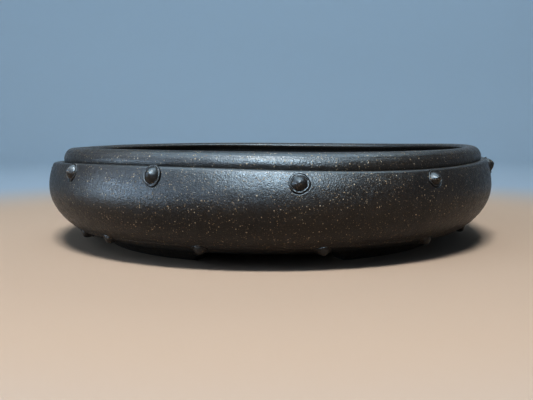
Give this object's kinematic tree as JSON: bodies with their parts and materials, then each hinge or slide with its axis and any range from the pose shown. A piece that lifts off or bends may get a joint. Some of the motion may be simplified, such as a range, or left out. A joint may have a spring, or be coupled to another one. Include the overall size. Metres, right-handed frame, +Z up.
{
  "type": "bonsai pot",
  "caption": "Shallow round drum-shaped stoneware bonsai pot with an inward-rolled rim, rows of pressed nails round the shoulder and the foot band, low feet and a drained floor.",
  "frame": {"origin": "centre of the pot's footprint, on the surface it stands on", "axes": "+Z up along the pot's axis, -Y towards the front, +X to the right seen from the front"},
  "size_m": [0.3022, 0.3038, 0.0625],
  "materials": {
    "stoneware": "unglazed, satin, speckled",
    "stoneware_nails": "unglazed, satin, rubbed smooth"
  },
  "bodies": {
    "root": {"belly_wall": "stoneware", "base_slab": "stoneware", "rim_collar": "stoneware", "foot_front_left": "stoneware", "foot_front_right": "stoneware", "foot_rear_left": "stoneware", "foot_rear_right": "stoneware", "upper_nails": "stoneware_nails", "lower_nails": "stoneware_nails"}
  },
  "joints": []
}
